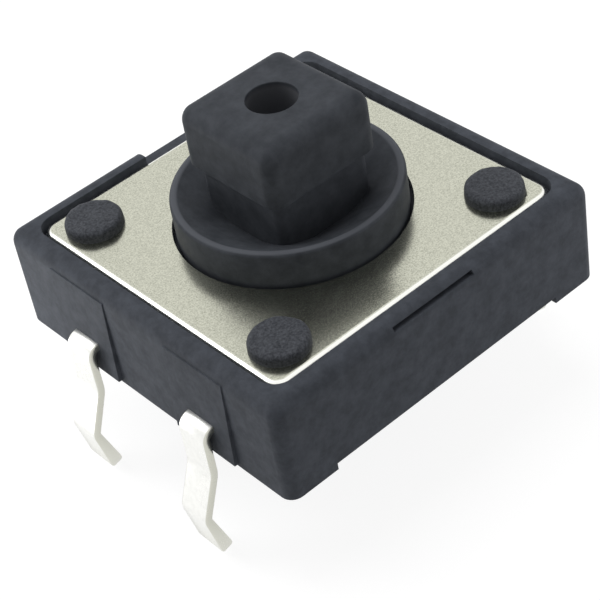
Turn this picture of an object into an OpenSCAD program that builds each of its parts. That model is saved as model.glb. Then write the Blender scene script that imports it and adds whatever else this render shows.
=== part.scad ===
// Push switch for a circuit board: a moulded base with a staked steel cover plate, a plunger with a
// square head for a push-fit cap, a snap dome and two lead frames with kinked snap-in legs.
// Origin: centre of the board seat. +Z points up out of the plunger, the legs leave through the +X
// and -X walls.

/* [Base] */
// Side of the square base
base_w = 12; // [11.6:0.1:14]
// Radius of the base's upright corners
base_corner_r = 0.4; // [0.2:0.05:0.6]
// Thickness of the rim around the plate
rim_wall = 0.6; // [0.45:0.05:0.7]
// Rounding of the rim's outer top edge
rim_edge_r = 0.3; // [0.1:0.05:0.4]
// Radius of the recess corners inside the rim
recess_corner_r = 0.6; // [0.4:0.05:1.3]
// Clearance between the plunger's flange and the cavity wall
cavity_gap = 0.4; // [0.2:0.05:0.5]
// Thickness of plastic over the lead frames at the cavity floor
floor_cover = 0.15; // [0.1:0.05:0.3]
// Width of the two rails that stand on the board
rail_w = 1.7; // [1.2:0.1:2.4]
// Depth of the channel between the rails
channel_d = 0.22; // [0.1:0.02:0.4]

/* [Wall details] */
// Width of the raised pad around each leg
pad_w = 2.5; // [1.8:0.1:3]
// Height of the pads over the wall
pad_t = 0.15; // [0.05:0.01:0.2]
// Step from the rim down to the pads' top
pad_drop = 0.12; // [0.02:0.01:0.6]
// Length of the gate slit under the front rim
gate_l = 3; // [2:0.1:4]
// How far the gate slit is off centre
gate_shift = -0.2; // [-0.5:0.1:0.5]
// Depth of the gate slit into the wall
gate_d = 0.23; // [0.1:0.01:0.3]
// Height of the gate slit
gate_h = 0.14; // [0.06:0.01:0.3]
// Depth of the slit's upper edge below the rim
gate_drop = 0.16; // [0.08:0.01:0.4]
// Length of the notch in the rear rim
notch_l = 2.3; // [1:0.1:4]
// Drop of the rear notch's floor
notch_drop = 0.48; // [0.3:0.02:0.8]

/* [Cover plate] */
// Thickness of the plate
plate_t = 0.3; // [0.2:0.02:0.4]
// Depth of the plate's top below the rim
plate_sink = 0.1; // [0:0.01:0.3]
// Clearance between plate and rim
plate_gap = 0.1; // [0.05:0.01:0.2]
// Rounding of the plate's rolled outer edge
plate_edge_r = 0.18; // [0.04:0.02:0.2]
// Width of the plate between its edge and the round hole
plate_land = 1.8; // [1.6:0.01:2]

/* [Stakes] */
// Distance of the staked posts from the plate's edges
stake_inset = 1.2; // [1.06:0.01:1.3]
// Diameter of the posts
stake_d = 1.4; // [1.1:0.05:1.5]
// Diameter of the flattened heads
stake_head_d = 1.75; // [1.6:0.05:1.8]
// Height of the flattened heads
stake_head_h = 0.38; // [0.2:0.02:0.6]
// Rounding of the heads' top edge
stake_head_r = 0.12; // [0.05:0.01:0.2]
// Clearance of a post in its plate hole
stake_gap = 0.05; // [0.02:0.01:0.1]

/* [Plunger] */
// Side of the square head
head_w = 3.9; // [3.5:0.1:4.2]
// Height of the square head
head_h = 2.05; // [1.8:0.05:2.4]
// Radius of the head's upright corners
head_corner_r = 0.3; // [0.2:0.05:0.6]
// Rounding of the head's top edges
head_edge_r = 0.5; // [0.2:0.05:0.8]
// Height of the neck between the disc's edge and the head
neck_h = 0.9; // [0.5:0.1:4]
// Side of the neck
neck_w = 3.4; // [2.6:0.1:3.5]
// Radius of the neck's corners
neck_corner_r = 0.3; // [0.2:0.05:0.6]
// Diameter of the dimple in the head's top
dimple_d = 1.6; // [1:0.1:2]
// Depth of that dimple
dimple_depth = 1.2; // [0.6:0.1:1.6]
// Height of the disc above the plate
disc_h = 1.09; // [0.8:0.01:1.3]
// Rounding of the disc's top edge
disc_edge_r = 0.12; // [0.06:0.02:0.16]
// Width of the lip around the dish in the disc's top
lip_w = 0.2; // [0.18:0.02:0.5]
// Depth of that dish
dish_depth = 0.85; // [0.4:0.05:1]
// Diameter of the dish's flat floor
dish_d = 3.6; // [2.4:0.1:5]
// Reach of the flange under the plate
flange_lip = 0.6; // [0.4:0.05:0.7]
// Thickness of that flange
flange_t = 0.56; // [0.4:0.02:1.2]
// Diameter of the pip that presses on the dome
pip_d = 2.2; // [1.4:0.1:3]
// Height of the pip
pip_h = 0.36; // [0.3:0.02:1.2]
// Clearance of the disc in the plate hole
disc_gap = 0.1; // [0.06:0.02:0.16]
// Clearance between the flange and the plate
flange_gap = 0.04; // [0.02:0.01:0.08]
// Clearance between the pip and the dome
pip_gap = 0.05; // [0.02:0.01:0.1]

/* [Dome] */
// Clearance between the dome and the cavity wall
dome_gap = 0.8; // [0.4:0.1:1.2]
// Travel of the plunger, which the dome gives way by
travel = 0.3; // [0.2:0.05:0.35]
// Height of the dome when it is pressed
dome_pressed_h = 0.3; // [0.2:0.05:0.35]
// Thickness of the dome's sheet
dome_t = 0.08; // [0.05:0.01:0.12]

/* [Lead frames] */
// Thickness of the sheet
lead_t = 0.3; // [0.2:0.02:0.35]
// Height of the frames' underside above the board
lead_z = 0.9; // [0.8:0.05:1]
// Width of a leg
leg_w = 1.1; // [0.8:0.05:1.2]
// Distance of the legs' middle outside the wall, at the board
leg_out = 0.4; // [0.35:0.05:0.6]
// Distance between neighbouring legs along a wall
leg_pitch = 5.2; // [4.8:0.1:5.4]
// Length of the legs below the board seat
leg_l = 3.5; // [3:0.1:4.5]
// Inside radius of the bend at the wall
leg_bend_r = 0.15; // [0.1:0.05:0.3]
// Depth below the board seat where the legs start to spread
kink_start = 0.5; // [0.2:0.1:0.8]
// Depth of the knee below the board seat
knee_depth = 1.9; // [1.6:0.1:2.4]
// How far the knee stands outside the line of the legs
knee_out = 0.55; // [0.2:0.05:0.8]
// Radius of the rounded leg tips, seen from outside
tip_r = 0.26; // [0.2:0.02:0.48]
// Width of the bars that join the legs inside the base
bar_w = 0.8; // [0.6:0.1:1]
// Plastic left outside the bars at the walls with legs
bar_cover_x = 0.9; // [0.7:0.05:1.1]
// Plastic left outside the bars at the other two walls
bar_cover_y = 1.25; // [1:0.05:1.4]
// Diameter of the centre contact button
contact_d = 1.6; // [1.2:0.1:2]
// Diameter of the two contact buttons under the dome's edge
rim_contact_d = 1; // [0.7:0.1:1.2]
// Angle of those buttons from the X axis, in degrees
rim_contact_angle = 43; // [35:1:50]

/* [Hidden] */
$fn = 64;
// Steps of the dome's wide, flat arc
dome_fn = 720;
// Reach past a face that a cut leaves through
past = 1;
lead_top = lead_z + lead_t;
floor_z = lead_top + floor_cover;
dome_h = dome_pressed_h + travel;
dome_top = floor_z + dome_h;
pip_z = dome_top + pip_gap;
flange_z = pip_z + pip_h;
flange_top = flange_z + flange_t;
plate_z = flange_top + flange_gap;
plate_top = plate_z + plate_t;
base_h = plate_top + plate_sink;
pad_h = base_h - pad_drop;
disc_top = plate_top + disc_h;
dish_z = disc_top - dish_depth;
head_z = disc_top + neck_h;
plunger_h = head_z + head_h;
recess_w = base_w - 2 * rim_wall;
plate_w = recess_w - 2 * plate_gap;
plate_corner_r = recess_corner_r - plate_gap;
plate_hole_d = plate_w - 2 * plate_land;
stake_xy = plate_w / 2 - stake_inset;
disc_d = plate_hole_d - 2 * disc_gap;
flange_d = plate_hole_d + 2 * flange_lip;
cavity_d = flange_d + 2 * cavity_gap;
dome_d = cavity_d - 2 * dome_gap;
dome_r = (pow(dome_d / 2, 2) + pow(dome_h, 2)) / (2 * dome_h);
leg_x = base_w / 2 + leg_out;
leg_y = leg_pitch / 2;
bend_x = leg_x - lead_t / 2 - leg_bend_r;
bend_z = lead_z - leg_bend_r;
tip_round = min(tip_r, 0.48 * leg_w);
bar_x = base_w / 2 - bar_cover_x;
bar_y = base_w / 2 - bar_cover_y - bar_w / 2;
rim_contact_x = (dome_d / 2 - dome_t) * cos(rim_contact_angle);
rim_contact_y = (dome_d / 2 - dome_t) * sin(rim_contact_angle);
corners = [[1, 1], [1, -1], [-1, 1], [-1, -1]];

// A square with rounded corners, centred
module rounded_square(side, r) {
    square([side - 2 * r, side], center = true);
    square([side, side - 2 * r], center = true);
    for (c = corners)
        translate(c * (side / 2 - r)) circle(r);
}

// A rectangle that stands on the X axis, with its two upper corners rounded
module round_topped(w, h, r) {
    translate([-w / 2, 0]) square([w, h - r]);
    translate([r - w / 2, 0]) square([w - 2 * r, h]);
    for (side = [-1, 1])
        translate([side * (w / 2 - r), h - r]) circle(r);
}

// Extrudes a drawing along Y, centred, with the drawing's Y pointing up
module extrude_y(length) {
    translate([0, length / 2, 0]) rotate([90, 0, 0]) linear_extrude(length) children();
}

// Extrudes a drawing along X, centred, with the drawing's X along Y and its Y pointing up
module extrude_x(length) {
    translate([-length / 2, 0, 0]) rotate([90, 0, 90]) linear_extrude(length) children();
}

// A square block with rounded corners, whose upper edges are rounded by a radius of their own
module soft_block(side, h, corner_r, edge_r) {
    intersection() {
        linear_extrude(h) rounded_square(side, corner_r);
        extrude_x(side) round_topped(side, h, edge_r);
        extrude_y(side) round_topped(side, h, edge_r);
    }
}

// One staked post: the shank, rooted in the base, and the flattened head on the plate
module stake() {
    translate([0, 0, floor_z]) cylinder(d = stake_d, h = plate_top + stake_head_h - floor_z);
    translate([0, 0, plate_top]) rotate_extrude() {
        square([stake_head_d / 2 - stake_head_r, stake_head_h]);
        square([stake_head_d / 2, stake_head_h - stake_head_r]);
        translate([stake_head_d / 2 - stake_head_r, stake_head_h - stake_head_r]) circle(stake_head_r);
    }
}

// Raised pads on the two walls that the legs leave through
module pads() {
    for (c = corners)
        translate([c[0] * base_w / 2, c[1] * leg_y, pad_h / 2])
            cube([2 * pad_t, pad_w, pad_h], center = true);
}

// Slit under the front rim where the moulding gate was cut off
module gate_cut() {
    translate([gate_shift - gate_l / 2, -base_w / 2 - past, base_h - gate_drop - gate_h])
        cube([gate_l, past + gate_d, gate_h]);
}

// Notch through the rear rim
module notch_cut() {
    translate([-notch_l / 2, recess_w / 2 - plate_gap / 2, base_h - notch_drop])
        cube([notch_l, rim_wall + plate_gap / 2 + past, notch_drop + past]);
}

// Outline of one leg seen along the wall, on the +X side: out of the wall, round the bend, down,
// out to the knee and back in to the tip
module leg_profile(root_x) {
    turn_r = leg_bend_r + lead_t;
    translate([root_x, lead_z]) square([bend_x - root_x, lead_t]);
    translate([bend_x, bend_z]) intersection() {
        difference() {
            circle(turn_r);
            circle(leg_bend_r);
        }
        square(turn_r);
    }
    strip([
        [leg_x, bend_z],
        [leg_x, -kink_start],
        [leg_x + knee_out, -knee_depth],
        [leg_x, -leg_l - lead_t]
    ]);
}

// A bent strip of sheet along a line of points, rounded at its bends
module strip(points) {
    for (i = [1 : len(points) - 1]) {
        step = points[i] - points[i - 1];
        translate(points[i - 1]) rotate(atan2(step[1], step[0]))
            translate([0, -lead_t / 2]) square([norm(step), lead_t]);
    }
    for (i = [1 : len(points) - 2])
        translate(points[i]) circle(d = lead_t);
}

// Outline of one leg seen from outside: straight sides and a rounded tip
module leg_front() {
    translate([0, lead_top]) mirror([0, 1]) round_topped(leg_w, lead_top + leg_l, tip_round);
}

// One leg on the +X side at the middle of the wall
module leg() {
    intersection() {
        extrude_y(leg_w) leg_profile(bar_x);
        translate([base_w / 2, 0, 0]) extrude_x(base_w) leg_front();
    }
}

// The flat part of a frame: two legs, the bars that join them round the cavity
module lead_pair() {
    for (side = [0, 1])
        mirror([side, 0, 0]) {
            translate([0, leg_y, 0]) leg();
            translate([bar_x - bar_w, leg_y - leg_w / 2, lead_z])
                cube([bar_w, bar_y + bar_w / 2 - leg_y + leg_w / 2, lead_t]);
        }
    translate([-bar_x, bar_y - bar_w / 2, lead_z]) cube([2 * bar_x, bar_w, lead_t]);
}

// The frame with a tongue and button under the middle of the dome
module centre_frame() {
    lead_pair();
    translate([-contact_d / 2, 0, lead_z]) cube([contact_d, bar_y, lead_t]);
    translate([0, 0, lead_z]) cylinder(d = contact_d, h = lead_t + floor_cover);
}

// The frame with two tongues and buttons under the edge of the dome
module rim_frame() {
    mirror([0, 1, 0]) {
        lead_pair();
        for (side = [-1, 1]) {
            translate([side * rim_contact_x - rim_contact_d / 2, rim_contact_y, lead_z])
                cube([rim_contact_d, bar_y - rim_contact_y, lead_t]);
            translate([side * rim_contact_x, rim_contact_y, lead_z])
                cylinder(d = rim_contact_d, h = lead_t + floor_cover);
        }
    }
}

module base() {
    color("#23252a") {
        difference() {
            union() {
                soft_block(base_w, base_h, base_corner_r, rim_edge_r);
                pads();
            }
            translate([0, 0, plate_z]) linear_extrude(base_h) rounded_square(recess_w, recess_corner_r);
            translate([0, 0, floor_z]) cylinder(d = cavity_d, h = base_h);
            translate([rail_w - base_w / 2, -base_w, -past])
                cube([base_w - 2 * rail_w, 2 * base_w, past + channel_d]);
            gate_cut();
            notch_cut();
            centre_frame();
            rim_frame();
        }
        for (c = corners)
            translate(c * stake_xy) stake();
    }
}

module cover_plate() {
    color("#cbcbbe") translate([0, 0, plate_z]) difference() {
        soft_block(plate_w, plate_t, plate_corner_r, plate_edge_r);
        translate([0, 0, -past]) cylinder(d = plate_hole_d, h = plate_t + 2 * past);
        for (c = corners)
            translate([c[0] * stake_xy, c[1] * stake_xy, -past])
                cylinder(d = stake_d + 2 * stake_gap, h = plate_t + 2 * past);
    }
}

// Half of the disc's section: a dish inside a lip, whose outer edge is rounded
module disc_section() {
    round_r = disc_d / 2 - disc_edge_r;
    polygon([
        [0, flange_z],
        [disc_d / 2, flange_z],
        [disc_d / 2, disc_top - disc_edge_r],
        [round_r, disc_top - disc_edge_r],
        [round_r, disc_top],
        [disc_d / 2 - lip_w, disc_top],
        [dish_d / 2, dish_z],
        [0, dish_z]
    ]);
    translate([round_r, disc_top - disc_edge_r]) circle(disc_edge_r);
}

module plunger() {
    color("#24262b") difference() {
        union() {
            rotate_extrude() {
                translate([0, pip_z]) square([pip_d / 2, flange_top - pip_z]);
                translate([0, flange_z]) square([flange_d / 2, flange_t]);
                disc_section();
            }
            translate([0, 0, flange_top]) linear_extrude(head_z + neck_h / 2 - flange_top)
                rounded_square(neck_w, neck_corner_r);
            translate([0, 0, head_z]) soft_block(head_w, head_h, head_corner_r, head_edge_r);
        }
        translate([0, 0, plunger_h - dimple_depth]) cylinder(d = dimple_d, h = dimple_depth + past);
    }
}

// A spherical cap of spring sheet that stands on its edge on the cavity floor
module contact_dome() {
    color("#b9bcc0") rotate_extrude() intersection() {
        translate([0, dome_top - dome_r]) difference() {
            circle(dome_r, $fn = dome_fn);
            circle(dome_r - dome_t, $fn = dome_fn);
        }
        translate([0, floor_z]) square([dome_d / 2, dome_h]);
    }
}

module lead_frame_centre() {
    color("#e4e5e3") centre_frame();
}

module lead_frame_rim() {
    color("#e4e5e3") rim_frame();
}

base();
cover_plate();
plunger();
contact_dome();
lead_frame_centre();
lead_frame_rim();
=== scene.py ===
import math

import bmesh
import bpy
from mathutils import Matrix, Vector, noise


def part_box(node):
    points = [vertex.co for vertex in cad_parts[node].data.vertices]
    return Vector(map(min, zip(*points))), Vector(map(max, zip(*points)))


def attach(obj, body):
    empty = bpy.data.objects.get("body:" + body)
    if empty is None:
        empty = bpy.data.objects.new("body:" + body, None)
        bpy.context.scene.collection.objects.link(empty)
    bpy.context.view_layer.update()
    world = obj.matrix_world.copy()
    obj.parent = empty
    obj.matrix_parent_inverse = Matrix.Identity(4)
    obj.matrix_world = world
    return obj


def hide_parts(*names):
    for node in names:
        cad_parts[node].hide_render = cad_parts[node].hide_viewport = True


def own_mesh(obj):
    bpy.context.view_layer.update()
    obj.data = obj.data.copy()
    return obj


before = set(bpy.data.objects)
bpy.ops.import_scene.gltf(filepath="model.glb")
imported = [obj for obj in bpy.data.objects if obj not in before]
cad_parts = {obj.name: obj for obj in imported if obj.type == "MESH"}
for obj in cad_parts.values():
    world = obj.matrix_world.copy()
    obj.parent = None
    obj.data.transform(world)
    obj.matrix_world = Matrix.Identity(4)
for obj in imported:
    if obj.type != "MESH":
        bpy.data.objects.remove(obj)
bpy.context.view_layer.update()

# Pieces are modelled in millimetres and scaled to metres when they are finished.
MM = 0.001


def node_box(node):
    """The lowest and highest corner of a CAD node, in millimetres."""
    low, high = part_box(node)
    return low / MM, high / MM


BASE_LOW, BASE_HIGH = node_box("base")
PLATE_LOW, PLATE_HIGH = node_box("cover_plate")
PLUNGER_LOW, PLUNGER_HIGH = node_box("plunger")
LEAD_LOW = node_box("lead_frame_centre")[0]
DOME_LOW, DOME_HIGH = node_box("contact_dome")

BASE_W = BASE_HIGH.y - BASE_LOW.y
HALF = BASE_W / 2
PLATE_Z = PLATE_LOW.z
PLATE_TOP = PLATE_HIGH.z
PLATE_W = PLATE_HIGH.x - PLATE_LOW.x
PLATE_SINK = 0.11
RIM_H = PLATE_TOP + PLATE_SINK
HALF_H = RIM_H / 2
FLOOR_Z = LEAD_LOW.z

# Housing, with its rim and pads shaped a little closer to the photograph than in the solids
CORNER_R = 0.4
RIM_WALL = 0.6
RIM_EDGE_R = 0.45
RECESS_CORNER_R = 0.6
CAVITY_D = 9.0
CAVITY_Z = 1.35
RAIL_W = 1.7
CHANNEL_D = 0.22
PAD_W = 2.5
PAD_T = 0.15
PAD_TOP_T = 0.03
PAD_DROP = 0.35
PAD_FOOT = 0.12
GATE_L = 3.0
GATE_SHIFT = -0.2
GATE_D = 0.23
GATE_H = 0.14
GATE_DROP = 0.16
GATE_CUT = 0.15
NOTCH_L = 2.3
NOTCH_DROP = 0.48
NOTCH_IN = PLATE_W / 2 + 0.05
BEYOND = 1.0
EDGE_SOFT = 0.05

# Snap dome
DOME_T = 0.08
DOME_STEPS = 16

# Cover plate
PLATE_CORNER_R = 0.5
PLATE_EDGE_R = 0.2
PLATE_HOLE_D = 7.0
PLATE_SOFT = 0.02
STAKE_XY = 4.1
STAKE_HOLE_D = 1.5
STAKE_D = 1.4
STAKE_HEAD_D = 1.75
STAKE_SOFT = 0.16
STAKE_RINGS = 12
# Lumps on the stakes' heads: how many to a millimetre, and how high
LUMPS_PER_MM, LUMP_H = 1.6, 0.05
GRAINS_PER_MM, GRAIN_H = 6.0, 0.02
LUMP_SINK = 0.03
WAVES_PER_MM, WAVE_SHARE = 1.2, 0.04
# Keeps the four heads from sharing one pattern
PATTERN_STEP = 7

# Plunger
HEAD_W = 3.9
HEAD_H = 2.05
HEAD_CORNER_R = 0.42
HEAD_EDGE_R = 0.5
HEAD_Z = PLUNGER_HIGH.z - HEAD_H
HEAD_CUT = 0.14
HEAD_TOP = PLUNGER_HIGH.z - HEAD_CUT
NECK_W = 3.4
NECK_CORNER_R = 0.3
DIMPLE_D = 1.5
DIMPLE_DEPTH = 1.2
DISC_D = 6.8
DISC_H = 1.09
DISC_TOP = PLATE_TOP + DISC_H
DISC_EDGE_R = 0.12
LIP_W = 0.2
DISH_DEPTH = 0.85
DISH_Z = DISC_TOP - DISH_DEPTH
DISH_D = 3.6
FLANGE_D = PLUNGER_HIGH.x - PLUNGER_LOW.x
FLANGE_GAP = 0.04
FLANGE_T = 0.56
FLANGE_TOP = PLATE_Z - FLANGE_GAP
FLANGE_Z = FLANGE_TOP - FLANGE_T
PIP_D = 2.2
PLUNGER_SOFT = 0.03

# Legs
LEG_W = 1.1
LEG_T = 0.25
LEG_OUT = 0.4
LEG_X = HALF + LEG_OUT
LEG_Y = 2.6
LEG_Z = 1.05
LEG_ROOT_X = HALF - 0.4
LEG_CUT_X = LEG_ROOT_X + 0.2
LEG_SOFT = 0.05
LEG_BENDS = [0.3, 0.9, 0.35]
KINK_Z = -0.5
KNEE_Z = -1.9
KNEE_OUT = 0.55
TIP_R = 0.26
FOOT_OUT = 0.1
FOOT_GAP = 0.02
FOOT_SWELL = 0.17
TIP_ANGLES = (15, 30, 45, 60, 72, 82)

# Steps and tolerances of the meshes
ROUND_STEPS = 96
SMALL_ROUND_STEPS = 64
MERGE = 1e-4
SHARP_ANGLE = 40
CORNERS = [(1, 1), (1, -1), (-1, 1), (-1, -1)]

# Camera, fitted to the photograph
IMAGE_PX = 600
FOCAL_PX = 1875.2
CENTRE_PX = (308.2, 294.8)
CAMERA_AZIMUTH = -35.31
CAMERA_ELEVATION = 39.97
CAMERA_ROLL = -10.52
CAMERA_DISTANCE = 55.86
SENSOR_MM = 36.0

# Level of the surrounding light, where 1 lights a white card to white
AMBIENT = 0.23

# Floor: its colour for bounced light, its colour where it is seen, and its glow there
FLOOR_BOUNCE = 0.85
FLOOR_SEEN = 0.25
FLOOR_GLOW = 0.88
FLOOR_HALF_M = 0.5


# Modelling helpers

def rounded_slab(width, depth, z_low, z_high, corner_r, steps=8):
    """A slab centred on the Z axis with rounded upright corners."""
    bm = bmesh.new()
    size = Matrix.Diagonal((width, depth, z_high - z_low, 1))
    bmesh.ops.create_cube(bm, size=1, matrix=Matrix.Translation((0, 0, (z_low + z_high) / 2)) @ size)
    upright = [e for e in bm.edges if abs(e.verts[0].co.z - e.verts[1].co.z) > 1e-6]
    bmesh.ops.bevel(bm, geom=upright, offset=corner_r, offset_type="OFFSET", affect="EDGES",
                    segments=steps, profile=0.5, material=-1)
    return bm


def drum(diameter, z_low, z_high, at=(0, 0), steps=ROUND_STEPS):
    """A plain upright cylinder."""
    bm = bmesh.new()
    place = Matrix.Translation((at[0], at[1], (z_low + z_high) / 2))
    bmesh.ops.create_cone(bm, cap_ends=True, segments=steps, radius1=diameter / 2,
                          radius2=diameter / 2, depth=z_high - z_low, matrix=place)
    return bm


def block(x, y, z):
    """A box between (low, high) pairs."""
    bm = bmesh.new()
    low = Vector((x[0], y[0], z[0]))
    high = Vector((x[1], y[1], z[1]))
    place = Matrix.Translation((low + high) / 2) @ Matrix.Diagonal((*(high - low), 1))
    bmesh.ops.create_cube(bm, size=1, matrix=place)
    return bm


def turned(profile, steps=ROUND_STEPS):
    """A solid turned about the Z axis from (radius, height) points that start and end on it."""
    bm = bmesh.new()
    verts = [bm.verts.new((r, 0, z)) for r, z in profile]
    edges = [bm.edges.new(pair) for pair in zip(verts, verts[1:])]
    bmesh.ops.spin(bm, geom=verts + edges, cent=(0, 0, 0), axis=(0, 0, 1), angle=math.tau,
                   steps=steps, use_merge=True, use_duplicate=False)
    bmesh.ops.remove_doubles(bm, verts=bm.verts[:], dist=1e-5)
    bmesh.ops.recalc_face_normals(bm, faces=bm.faces[:])
    return bm


def round_edge(centre, radius, start, stop, steps=6):
    """Points on an arc of a profile, with angles in degrees."""
    angles = [math.radians(start + (stop - start) * i / steps) for i in range(steps + 1)]
    return [(centre[0] + radius * math.cos(a), centre[1] + radius * math.sin(a)) for a in angles]


def rounded_loop(bm, half, corner_r, z, steps=8):
    """The edges of a rounded square ring at one height."""
    verts = []
    for x, y, start in ((1, 1, 0), (-1, 1, 90), (-1, -1, 180), (1, -1, 270)):
        for i in range(steps + 1):
            turn = math.radians(start + 90 * i / steps)
            verts.append(bm.verts.new((x * (half - corner_r) + corner_r * math.cos(turn),
                                       y * (half - corner_r) + corner_r * math.sin(turn), z)))
    return [bm.edges.new(pair) for pair in zip(verts, verts[1:] + verts[:1])]


def soft_block(width, z_low, z_high, corner_r, edge_r, steps=8):
    """A square block, lofted through rings that follow its rounded top edge."""
    bm = bmesh.new()
    arc = round_edge((width / 2 - edge_r, z_high - edge_r), edge_r, 0, 90, steps)
    loops = [rounded_loop(bm, half, max(0.2, corner_r - (width / 2 - half)), z)
             for half, z in [(width / 2, z_low)] + arc]
    for one, two in zip(loops, loops[1:]):
        bmesh.ops.bridge_loops(bm, edges=one + two)
    for end in (loops[0], loops[-1]):
        bmesh.ops.contextual_create(bm, geom=end)
    bmesh.ops.recalc_face_normals(bm, faces=bm.faces[:])
    return bm


def to_object(name, bm):
    mesh = bpy.data.meshes.new(name)
    bm.to_mesh(mesh)
    bm.free()
    obj = bpy.data.objects.new(name, mesh)
    bpy.context.scene.collection.objects.link(obj)
    return obj


def bake_modifiers(obj):
    """Replaces the object's mesh by what its modifiers make of it."""
    depsgraph = bpy.context.evaluated_depsgraph_get()
    made = bpy.data.meshes.new_from_object(obj.evaluated_get(depsgraph))
    old = obj.data
    obj.modifiers.clear()
    obj.data = made
    bpy.data.meshes.remove(old)


def carve(obj, cutters):
    """Cuts each cutter mesh out of the object."""
    tools = [to_object(f"cutter_{i}", cutter) for i, cutter in enumerate(cutters)]
    for tool in tools:
        cut = obj.modifiers.new("cut", "BOOLEAN")
        cut.operation = "DIFFERENCE"
        cut.solver = "EXACT"
        cut.object = tool
    bake_modifiers(obj)
    for tool in tools:
        bpy.data.meshes.remove(tool.data)


def fuse(obj, extras):
    """Joins each extra mesh to the object."""
    tools = [to_object(f"extra_{i}", extra) for i, extra in enumerate(extras)]
    for tool in tools:
        join = obj.modifiers.new("join", "BOOLEAN")
        join.operation = "UNION"
        join.solver = "EXACT"
        join.object = tool
    bake_modifiers(obj)
    for tool in tools:
        bpy.data.meshes.remove(tool.data)


def soften(obj, width, segments=3, angle=30):
    """Rounds the object's hard outer edges a little."""
    bm = bmesh.new()
    bm.from_mesh(obj.data)
    bmesh.ops.remove_doubles(bm, verts=bm.verts[:], dist=MERGE)
    bmesh.ops.dissolve_limit(bm, angle_limit=math.radians(1), verts=bm.verts[:], edges=bm.edges[:])
    hard = [e for e in bm.edges if e.is_manifold and e.is_convex and e.calc_face_angle() > math.radians(angle)]
    bmesh.ops.bevel(bm, geom=hard, offset=width, offset_type="OFFSET", affect="EDGES", segments=segments,
                    profile=0.5, material=-1, clamp_overlap=True)
    bmesh.ops.remove_doubles(bm, verts=bm.verts[:], dist=MERGE)
    bmesh.ops.recalc_face_normals(bm, faces=bm.faces[:])
    bm.to_mesh(obj.data)
    bm.free()


def finish(obj, body, material, replaced=None):
    """Scales a piece to metres, shades it, gives it its material, ties it to its body and hides the CAD node it
    replaces.
    """
    obj.data.transform(Matrix.Scale(MM, 4))
    obj.data.shade_smooth()
    obj.data.set_sharp_from_angle(angle=math.radians(SHARP_ANGLE))
    weighted = obj.modifiers.new("even_shading", "WEIGHTED_NORMAL")
    weighted.weight = 100
    weighted.keep_sharp = True
    bake_modifiers(obj)
    obj.data.materials.clear()
    obj.data.materials.append(material)
    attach(obj, body)
    if replaced:
        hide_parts(replaced)
    return obj


# Materials

def principled(name):
    material = bpy.data.materials.new(name)
    material.use_nodes = True
    nodes = material.node_tree.nodes
    return material, nodes, material.node_tree.links, nodes["Principled BSDF"]


def noise_node(nodes, links, coords, scale_per_mm, detail=4, roughness=0.6):
    texture = nodes.new("ShaderNodeTexNoise")
    texture.inputs["Scale"].default_value = scale_per_mm / MM
    texture.inputs["Detail"].default_value = detail
    texture.inputs["Roughness"].default_value = roughness
    links.new(coords.outputs["Object"], texture.inputs["Vector"])
    return texture


def ramp_node(nodes, links, source, stops):
    ramp = nodes.new("ShaderNodeValToRGB")
    while len(ramp.color_ramp.elements) < len(stops):
        ramp.color_ramp.elements.new(0.5)
    for element, (position, colour) in zip(ramp.color_ramp.elements, stops):
        element.position = position
        element.color = (*colour, 1)
    links.new(source, ramp.inputs["Fac"])
    return ramp


def bump_node(nodes, links, height, depth_mm, strength=1.0):
    bump = nodes.new("ShaderNodeBump")
    bump.inputs["Strength"].default_value = strength
    bump.inputs["Distance"].default_value = depth_mm * MM
    links.new(height, bump.inputs["Height"])
    return bump


def moulded_plastic(name, dark, light, rough_low, rough_high, mottle_per_mm, grain_per_mm, grain_mm, shine):
    """Black moulded plastic: a fine eroded grain, cloudy colour and uneven gloss."""
    material, nodes, links, shader = principled(name)
    coords = nodes.new("ShaderNodeTexCoord")
    clouds = noise_node(nodes, links, coords, mottle_per_mm, 5, 0.65)
    grain = noise_node(nodes, links, coords, grain_per_mm, 3)
    colour = ramp_node(nodes, links, clouds.outputs["Fac"], [(0.35, dark), (0.68, light)])
    links.new(colour.outputs["Color"], shader.inputs["Base Color"])
    gloss = nodes.new("ShaderNodeMapRange")
    gloss.inputs["To Min"].default_value = rough_low
    gloss.inputs["To Max"].default_value = rough_high
    links.new(grain.outputs["Fac"], gloss.inputs["Value"])
    links.new(gloss.outputs["Result"], shader.inputs["Roughness"])
    bump = bump_node(nodes, links, grain.outputs["Fac"], grain_mm)
    links.new(bump.outputs["Normal"], shader.inputs["Normal"])
    shader.inputs["Specular IOR Level"].default_value = shine
    return material


def tinned_sheet(name, dark, light, rough_low, rough_high, grain_per_mm, grain_mm):
    """Tinned sheet: metal with a fine speckle and faint clouds."""
    material, nodes, links, shader = principled(name)
    coords = nodes.new("ShaderNodeTexCoord")
    speckle = noise_node(nodes, links, coords, grain_per_mm, 2, 0.7)
    clouds = noise_node(nodes, links, coords, 0.35, 4)
    colour = ramp_node(nodes, links, speckle.outputs["Fac"], [(0.3, dark), (0.62, light)])
    links.new(colour.outputs["Color"], shader.inputs["Base Color"])
    gloss = nodes.new("ShaderNodeMapRange")
    gloss.inputs["To Min"].default_value = rough_low
    gloss.inputs["To Max"].default_value = rough_high
    links.new(clouds.outputs["Fac"], gloss.inputs["Value"])
    links.new(gloss.outputs["Result"], shader.inputs["Roughness"])
    bump = bump_node(nodes, links, speckle.outputs["Fac"], grain_mm)
    links.new(bump.outputs["Normal"], shader.inputs["Normal"])
    shader.inputs["Metallic"].default_value = 1.0
    return material


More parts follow.
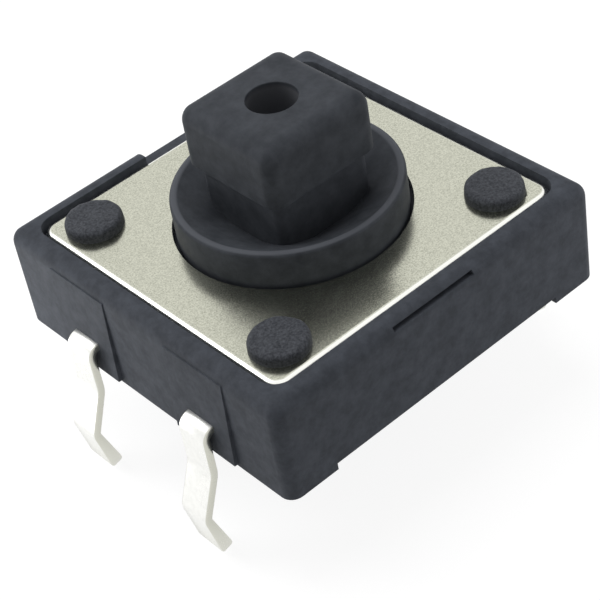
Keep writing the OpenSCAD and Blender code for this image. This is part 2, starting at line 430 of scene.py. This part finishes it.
def blend_colour(material, share, colour):
    """Mixes a further colour into a material by a share from 0 to 1."""
    nodes, links = material.node_tree.nodes, material.node_tree.links
    shader = nodes["Principled BSDF"]
    mix = nodes.new("ShaderNodeMix")
    mix.data_type = "RGBA"
    links.new(share, mix.inputs["Factor"])
    links.new(shader.inputs["Base Color"].links[0].from_socket, mix.inputs["A"])
    mix.inputs["B"].default_value = (*colour, 1)
    links.new(mix.outputs["Result"], shader.inputs["Base Color"])


def place_axis(material, axis):
    """One coordinate of the surface, in metres."""
    nodes, links = material.node_tree.nodes, material.node_tree.links
    coords = nodes.new("ShaderNodeTexCoord")
    split = nodes.new("ShaderNodeSeparateXYZ")
    links.new(coords.outputs["Object"], split.inputs["Vector"])
    return split.outputs[axis]


def axis_distance(material):
    """Distance of the surface from the Z axis, in metres."""
    nodes, links = material.node_tree.nodes, material.node_tree.links
    coords = nodes.new("ShaderNodeTexCoord")
    flat = nodes.new("ShaderNodeVectorMath")
    flat.operation = "MULTIPLY"
    flat.inputs[1].default_value = (1, 1, 0)
    links.new(coords.outputs["Object"], flat.inputs[0])
    size = nodes.new("ShaderNodeVectorMath")
    size.operation = "LENGTH"
    links.new(flat.outputs["Vector"], size.inputs[0])
    return size.outputs["Value"]


def both(material, one, two):
    """The product of two shares."""
    product = material.node_tree.nodes.new("ShaderNodeMath")
    product.operation = "MULTIPLY"
    material.node_tree.links.new(one, product.inputs[0])
    material.node_tree.links.new(two, product.inputs[1])
    return product.outputs["Value"]


def share_between(material, value, none_mm, full_mm):
    """0 where a length is at the first limit, 1 at the second."""
    nodes, links = material.node_tree.nodes, material.node_tree.links
    share = nodes.new("ShaderNodeMapRange")
    share.inputs["From Min"].default_value = none_mm * MM
    share.inputs["From Max"].default_value = full_mm * MM
    links.new(value, share.inputs["Value"])
    return share.outputs["Result"]


def distance_from(material, value, at_mm):
    """How far a length is from a given one, either way."""
    nodes, links = material.node_tree.nodes, material.node_tree.links
    step = nodes.new("ShaderNodeMath")
    step.operation = "SUBTRACT"
    step.inputs[1].default_value = at_mm * MM
    links.new(value, step.inputs[0])
    size = nodes.new("ShaderNodeMath")
    size.operation = "ABSOLUTE"
    links.new(step.outputs["Value"], size.inputs[0])
    return size.outputs["Value"]


housing_plastic = moulded_plastic("housing_plastic", (0.058, 0.064, 0.076), (0.09, 0.099, 0.118),
                                  0.55, 0.7, 2.4, 9, 0.006, 0.12)
stake_plastic = moulded_plastic("stake_plastic", (0.04, 0.043, 0.05), (0.115, 0.122, 0.138),
                                0.5, 0.68, 14, 12, 0.016, 0.12)
plunger_plastic = moulded_plastic("plunger_plastic", (0.053, 0.058, 0.067), (0.082, 0.089, 0.102),
                                  0.5, 0.62, 1.6, 12, 0.003, 0.07)
height = place_axis(plunger_plastic, "Z")
from_axis = axis_distance(plunger_plastic)
# Painted highlight: a thin ring along the ridge of the disc's lip is coloured lighter than the plastic.
lip_highlight_share = both(plunger_plastic,
              share_between(plunger_plastic, height, DISC_TOP - 0.035, DISC_TOP - 0.008),
              share_between(plunger_plastic, from_axis, DISC_D / 2 - 0.3, DISC_D / 2 - 0.25))
blend_colour(plunger_plastic, lip_highlight_share, (0.12, 0.128, 0.145))
# Painted light: the dimple's walls and floor, more than 0.2 mm down, are coloured lighter, as if light reached
# into it.
dimple_light_share = both(plunger_plastic,
                 share_between(plunger_plastic, from_axis, DIMPLE_D / 2 + 0.06, DIMPLE_D / 2 + 0.02),
                 share_between(plunger_plastic, height, HEAD_TOP - 0.06, HEAD_TOP - 0.2))
above_disc = share_between(plunger_plastic, height, HEAD_Z - 0.1, HEAD_Z)
blend_colour(plunger_plastic, both(plunger_plastic, dimple_light_share, above_disc), (0.13, 0.135, 0.148))
plate_tin = tinned_sheet("plate_tin", (0.4, 0.405, 0.335), (0.66, 0.665, 0.555), 0.18, 0.24, 22, 0.0008)
# Painted highlight: everything more than 0.01 mm below the plate's top face, so its edge, is coloured near-white.
blend_colour(plate_tin, share_between(plate_tin, place_axis(plate_tin, "Z"), PLATE_TOP - 0.001, PLATE_TOP - 0.01),
             (0.98, 0.98, 0.93))
lead_tin = tinned_sheet("lead_tin", (0.84, 0.84, 0.81), (0.9, 0.9, 0.87), 0.22, 0.34, 6, 0.001)
off_centre = distance_from(lead_tin, distance_from(lead_tin, place_axis(lead_tin, "Y"), 0), LEG_Y)
blend_colour(lead_tin, share_between(lead_tin, off_centre, LEG_W / 2 - 0.05, LEG_W / 2 - 0.02), (0.6, 0.6, 0.53))
# Painted shade: the legs are coloured darker towards their feet, near the floor.
blend_colour(lead_tin, share_between(lead_tin, place_axis(lead_tin, "Z"), -2.0, -3.6), (0.7, 0.7, 0.64))
dome_steel = tinned_sheet("dome_steel", (0.55, 0.56, 0.57), (0.63, 0.64, 0.65), 0.22, 0.3, 12, 0.0005)


# Pieces

def make_housing():
    """The base: a block with a rounded rim, leg pads, recess, cavity, channel, slit and notch."""
    recess_w = BASE_W - 2 * RIM_WALL
    shell = soft_block(BASE_W, 0, RIM_H, CORNER_R, RIM_EDGE_R)
    # Cuts beside the slit keep its odd faces from reaching along the whole wall.
    for x in (GATE_SHIFT - GATE_L / 2 - GATE_CUT, GATE_SHIFT + GATE_L / 2 + GATE_CUT):
        bmesh.ops.bisect_plane(shell, geom=shell.verts[:] + shell.edges[:] + shell.faces[:], dist=1e-5,
                               plane_co=(x, 0, 0), plane_no=(1, 0, 0))
    obj = to_object("housing", shell)
    fuse(obj, [pad(x, y) for x, y in CORNERS])
    carve(obj, [
        rounded_slab(recess_w, recess_w, PLATE_Z, RIM_H + BEYOND, RECESS_CORNER_R),
        drum(CAVITY_D, CAVITY_Z, RIM_H + BEYOND),
        block((RAIL_W - HALF, HALF - RAIL_W), (-BASE_W, BASE_W), (-BEYOND, CHANNEL_D)),
        block((GATE_SHIFT - GATE_L / 2, GATE_SHIFT + GATE_L / 2), (-HALF - BEYOND, GATE_D - HALF),
              (RIM_H - GATE_DROP - GATE_H, RIM_H - GATE_DROP)),
        block((-NOTCH_L / 2, NOTCH_L / 2), (NOTCH_IN, HALF + BEYOND),
              (RIM_H - NOTCH_DROP, RIM_H + BEYOND)),
    ])
    soften(obj, EDGE_SOFT)
    return finish(obj, "housing", housing_plastic, "base")


def pad(x, y):
    """The raised pad round one leg, which thins out towards the rim."""
    bm = block((x * HALF - PAD_T, x * HALF + PAD_T), (y * LEG_Y - PAD_W / 2, y * LEG_Y + PAD_W / 2),
               (PAD_FOOT, RIM_H - PAD_DROP))
    for vert in bm.verts:
        if vert.co.z > HALF_H and abs(vert.co.x) > HALF:
            vert.co.x = x * (HALF + PAD_TOP_T)
    return bm


def make_stakes():
    """Four posts, flattened over the plate with a rough, slightly irregular head."""
    bm = bmesh.new()
    r = STAKE_HEAD_D / 2
    soft = STAKE_SOFT
    profile = [(0, PLATE_Z), (STAKE_D / 2, PLATE_Z), (STAKE_D / 2, PLATE_TOP), (r, PLATE_TOP)]
    profile += round_edge((r - soft, BASE_HIGH.z - soft), soft, 0, 90)
    profile += [(r * 0.8 * (1 - i / STAKE_RINGS), BASE_HIGH.z) for i in range(STAKE_RINGS)]
    profile.append((0, BASE_HIGH.z))
    for x, y in CORNERS:
        head = turned(profile, SMALL_ROUND_STEPS)
        for vert in head.verts:
            if vert.co.z > PLATE_TOP + 0.01:
                place = Vector((vert.co.x + PATTERN_STEP * x, vert.co.y + PATTERN_STEP * y, vert.co.z))
                lift = noise.noise(place * LUMPS_PER_MM) * LUMP_H + noise.noise(place * GRAINS_PER_MM) * GRAIN_H
                vert.co.z += min(0, lift - LUMP_SINK)
                swell = 1 - WAVE_SHARE * abs(noise.noise(place * WAVES_PER_MM))
                vert.co.x *= swell
                vert.co.y *= swell
        bmesh.ops.translate(head, verts=head.verts[:], vec=(x * STAKE_XY, y * STAKE_XY, 0))
        mesh = bpy.data.meshes.new("stake")
        head.to_mesh(mesh)
        head.free()
        bm.from_mesh(mesh)
        bpy.data.meshes.remove(mesh)
    return finish(to_object("staked_posts", bm), "housing", stake_plastic)


def make_plate():
    """The cover plate, with its rolled edge, round hole and stake holes."""
    obj = to_object("plate", soft_block(PLATE_W, PLATE_Z, PLATE_TOP, PLATE_CORNER_R, PLATE_EDGE_R))
    cutters = [drum(PLATE_HOLE_D, PLATE_Z - BEYOND, PLATE_TOP + BEYOND)]
    cutters += [drum(STAKE_HOLE_D, PLATE_Z - BEYOND, PLATE_TOP + BEYOND, (x * STAKE_XY, y * STAKE_XY), 48)
                for x, y in CORNERS]
    carve(obj, cutters)
    soften(obj, PLATE_SOFT, 2)
    return finish(obj, "housing", plate_tin, "cover_plate")


def make_plunger():
    """The turned disc and flange, with the neck, the square head and its dimple."""
    r = DISC_D / 2
    profile = [(0, PLUNGER_LOW.z), (PIP_D / 2, PLUNGER_LOW.z), (PIP_D / 2, FLANGE_Z), (FLANGE_D / 2, FLANGE_Z),
               (FLANGE_D / 2, FLANGE_TOP), (r, FLANGE_TOP)]
    profile += round_edge((r - DISC_EDGE_R, DISC_TOP - DISC_EDGE_R), DISC_EDGE_R, 0, 90)
    profile += [(r - LIP_W, DISC_TOP), (DISH_D / 2, DISH_Z), (0, DISH_Z)]
    obj = to_object("plunger_body", turned(profile))
    fuse(obj, [rounded_slab(NECK_W, NECK_W, FLANGE_TOP, HEAD_Z + HEAD_H / 2, NECK_CORNER_R),
               soft_block(HEAD_W, HEAD_Z, HEAD_TOP, HEAD_CORNER_R, HEAD_EDGE_R, 12)])
    carve(obj, [drum(DIMPLE_D, HEAD_TOP - DIMPLE_DEPTH, HEAD_TOP + BEYOND, steps=SMALL_ROUND_STEPS)])
    soften(obj, PLUNGER_SOFT)
    return finish(obj, "button", plunger_plastic, "plunger")


def rounded_path(points, radii, steps=8):
    """A line of (x, z) points with its inner corners rounded."""
    path = [Vector(points[0])]
    for before, corner, after, radius in zip(points, points[1:], points[2:], radii):
        corner = Vector(corner)
        back = (Vector(before) - corner).normalized()
        ahead = (Vector(after) - corner).normalized()
        half = back.angle(ahead) / 2
        reach = radius / math.tan(half)
        centre = corner + (back + ahead).normalized() * radius / math.sin(half)
        start, stop = corner + back * reach - centre, corner + ahead * reach - centre
        turn = start.angle(stop)
        for i in range(steps + 1):
            share = i / steps
            arm = start * math.sin((1 - share) * turn) + stop * math.sin(share * turn)
            path.append(centre + arm / math.sin(turn))
    path.append(Vector(points[-1]))
    return path


def leg_rings(side):
    """Cross-sections of one leg along its bent path, narrowing to a round tip."""
    path = rounded_path([(LEG_ROOT_X, LEG_Z), (LEG_X, LEG_Z), (LEG_X, KINK_Z), (LEG_X + KNEE_OUT, KNEE_Z),
                         (LEG_X + FOOT_OUT, FLOOR_Z + FOOT_GAP)], LEG_BENDS)
    end = path.pop()
    last = path[-1]
    span = (end - last).length
    path += [last + (end - last) * (span - TIP_R) * i / 3 / span for i in (1, 2, 3)]
    path += [last + (end - last) * (span - TIP_R + TIP_R * math.sin(math.radians(a))) / span
             for a in TIP_ANGLES]
    rings = []
    for i, point in enumerate(path):
        ahead = (path[min(i + 1, len(path) - 1)] - path[max(i - 1, 0)]).normalized()
        out = Vector((-ahead.y, ahead.x)) * -1
        past_round = max(0.0, TIP_R - (end - point).length) / TIP_R
        half_w = LEG_W / 2 - TIP_R * (1 - math.sqrt(max(0.0, 1 - past_round ** 2)))
        thick = LEG_T + FOOT_SWELL * min(1.0, max(0.0, (KNEE_Z - point.y) / (KNEE_Z - FLOOR_Z - TIP_R)))
        slim = math.sqrt(max(0.05, 1 - past_round ** 2))
        soft = LEG_SOFT
        ring = []
        for y, t, start in ((1, 1, 0), (-1, 1, 90), (-1, -1, 180), (1, -1, 270)):
            for a in (0, 45, 90):
                turn = math.radians(start + a)
                across = y * (half_w - soft) + soft * math.cos(turn)
                deep = (t * (thick / 2 - soft) + soft * math.sin(turn)) * slim
                place = point + out * deep
                ring.append(Vector((side * place.x, across, place.y)))
        rings.append(ring)
    return rings


def add_leg(bm, side, at_y):
    """Lofts one leg into the mesh."""
    loops = []
    for ring in leg_rings(side):
        verts = [bm.verts.new(co + Vector((0, at_y, 0))) for co in ring]
        loops.append([bm.edges.new(pair) for pair in zip(verts, verts[1:] + verts[:1])])
    for one, two in zip(loops, loops[1:]):
        bmesh.ops.bridge_loops(bm, edges=one + two)
    for end in (loops[0], loops[-1]):
        bmesh.ops.contextual_create(bm, geom=end)


def make_leads(node, name, at_y):
    """A lead frame: the CAD sheet inside the base, with two bent legs outside."""
    bm = bmesh.new()
    bm.from_mesh(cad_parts[node].data)
    bmesh.ops.scale(bm, vec=(1 / MM, 1 / MM, 1 / MM), verts=bm.verts[:])
    bmesh.ops.remove_doubles(bm, verts=bm.verts[:], dist=MERGE)
    for side in (-1, 1):
        bmesh.ops.bisect_plane(bm, geom=bm.verts[:] + bm.edges[:] + bm.faces[:], dist=1e-5,
                               plane_co=(side * LEG_CUT_X, 0, 0), plane_no=(side, 0, 0), clear_outer=True)
        bmesh.ops.holes_fill(bm, edges=[e for e in bm.edges if e.is_boundary])
    for side in (-1, 1):
        add_leg(bm, side, at_y)
    bmesh.ops.recalc_face_normals(bm, faces=bm.faces[:])
    return finish(to_object(name, bm), "housing", lead_tin, node)


def make_dome():
    """The snap dome, in its resting shape."""
    half, height = (DOME_HIGH.x - DOME_LOW.x) / 2, DOME_HIGH.z - DOME_LOW.z
    radius = (half ** 2 + height ** 2) / (2 * height)
    profile = []
    for r, steps in ((radius, range(DOME_STEPS + 1)), (radius - DOME_T, range(DOME_STEPS, -1, -1))):
        lean = math.acos((radius - height) / r)
        angles = [lean * i / DOME_STEPS for i in steps]
        profile += [(r * math.sin(a), DOME_HIGH.z - radius + r * math.cos(a)) for a in angles]
    obj = finish(to_object("snap_dome", turned(profile)), "housing", dome_steel, "contact_dome")
    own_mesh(obj)


make_housing()
make_stakes()
make_plate()
make_plunger()
make_leads("lead_frame_centre", "leads_centre", LEG_Y)
make_leads("lead_frame_rim", "leads_rim", -LEG_Y)
make_dome()


# Stage, light and camera

def seen_directly(nodes, links):
    """1 for camera, mirror and glass rays, 0 for the rest."""
    path = nodes.new("ShaderNodeLightPath")
    shown = path.outputs["Is Camera Ray"]
    for kind in ("Is Glossy Ray", "Is Transmission Ray"):
        either = nodes.new("ShaderNodeMath")
        either.operation = "MAXIMUM"
        links.new(shown, either.inputs[0])
        links.new(path.outputs[kind], either.inputs[1])
        shown = either.outputs["Value"]
    return shown


def ray_value(nodes, links, bounced, seen):
    """One value for light that the floor or sky passes on, another for where they are seen."""
    level = nodes.new("ShaderNodeMapRange")
    level.inputs["To Min"].default_value = bounced
    level.inputs["To Max"].default_value = seen
    links.new(seen_directly(nodes, links), level.inputs["Value"])
    return level.outputs["Result"]


def make_floor():
    """A white floor that keeps the part's shadow."""
    bm = bmesh.new()
    bmesh.ops.create_grid(bm, x_segments=1, y_segments=1, size=FLOOR_HALF_M,
                          matrix=Matrix.Translation((0, 0, FLOOR_Z * MM)))
    floor = to_object("floor", bm)
    material, nodes, links, shader = principled("floor_white")
    links.new(ray_value(nodes, links, FLOOR_BOUNCE, FLOOR_SEEN), shader.inputs["Base Color"])
    shader.inputs["Roughness"].default_value = 0.9
    shader.inputs["Specular IOR Level"].default_value = 0.1
    shader.inputs["Emission Color"].default_value = (1, 1, 1, 1)
    links.new(ray_value(nodes, links, 0, FLOOR_GLOW), shader.inputs["Emission Strength"])
    floor.data.materials.append(material)


def make_world():
    """Soft light from all round, seen as white."""
    world = bpy.data.worlds.new("studio")
    bpy.context.scene.world = world
    world.use_nodes = True
    nodes, links = world.node_tree.nodes, world.node_tree.links
    background = nodes["Background"]
    background.inputs["Color"].default_value = (1, 1, 1, 1)
    links.new(ray_value(nodes, links, AMBIENT, 1.0), background.inputs["Strength"])


def make_softbox(name, direction, distance, size, level, mirrored=True):
    """A square lamp facing the part; at level 1 it lights a white card that faces it to white."""
    lamp = bpy.data.lights.new(name, "AREA")
    lamp.size = size * MM
    lamp.energy = level * (math.pi * distance * MM) ** 2
    obj = bpy.data.objects.new(name, lamp)
    obj.visible_glossy = mirrored
    place = Vector(direction).normalized() * distance * MM
    obj.matrix_world = Matrix.Translation(place) @ place.to_track_quat("Z", "Y").to_matrix().to_4x4()
    bpy.context.scene.collection.objects.link(obj)


def make_camera():
    """A camera at the photograph's angle, with its roll and its off-centre frame."""
    azimuth = math.radians(CAMERA_AZIMUTH)
    elevation = math.radians(CAMERA_ELEVATION)
    roll = math.radians(CAMERA_ROLL)
    back = Vector((math.sin(azimuth) * math.cos(elevation), -math.cos(azimuth) * math.cos(elevation),
                   math.sin(elevation)))
    level = Vector((0, 0, 1)).cross(back).normalized()
    upward = back.cross(level)
    right = level * math.cos(roll) + upward * math.sin(roll)
    up = upward * math.cos(roll) - level * math.sin(roll)
    data = bpy.data.cameras.new("camera")
    data.sensor_width = SENSOR_MM
    data.lens = FOCAL_PX * SENSOR_MM / IMAGE_PX
    data.shift_x = (IMAGE_PX / 2 - CENTRE_PX[0]) / IMAGE_PX
    data.shift_y = (CENTRE_PX[1] - IMAGE_PX / 2) / IMAGE_PX
    data.clip_start = MM
    data.clip_end = 5
    camera = bpy.data.objects.new("camera", data)
    turn = Matrix((right, up, back)).transposed().to_4x4()
    camera.matrix_world = Matrix.Translation(back * CAMERA_DISTANCE * MM) @ turn
    bpy.context.scene.collection.objects.link(camera)
    bpy.context.scene.camera = camera


make_floor()
make_world()
make_softbox("key_rear_left", (-0.35, 0.6, 0.72), 120, 60, 0.26)
# Seen from above, the plate would mirror this lamp and clip to white.
make_softbox("top", (0.05, 0.15, 0.985), 120, 60, 0.31, mirrored=False)
make_softbox("bounce_left", (-0.78, 0.62, -0.08), 17, 8, 0.21)
make_softbox("bounce_right", (0.72, -0.64, 0.26), 24, 12, 0.125)
make_camera()
bpy.context.scene.view_settings.view_transform = "Standard"
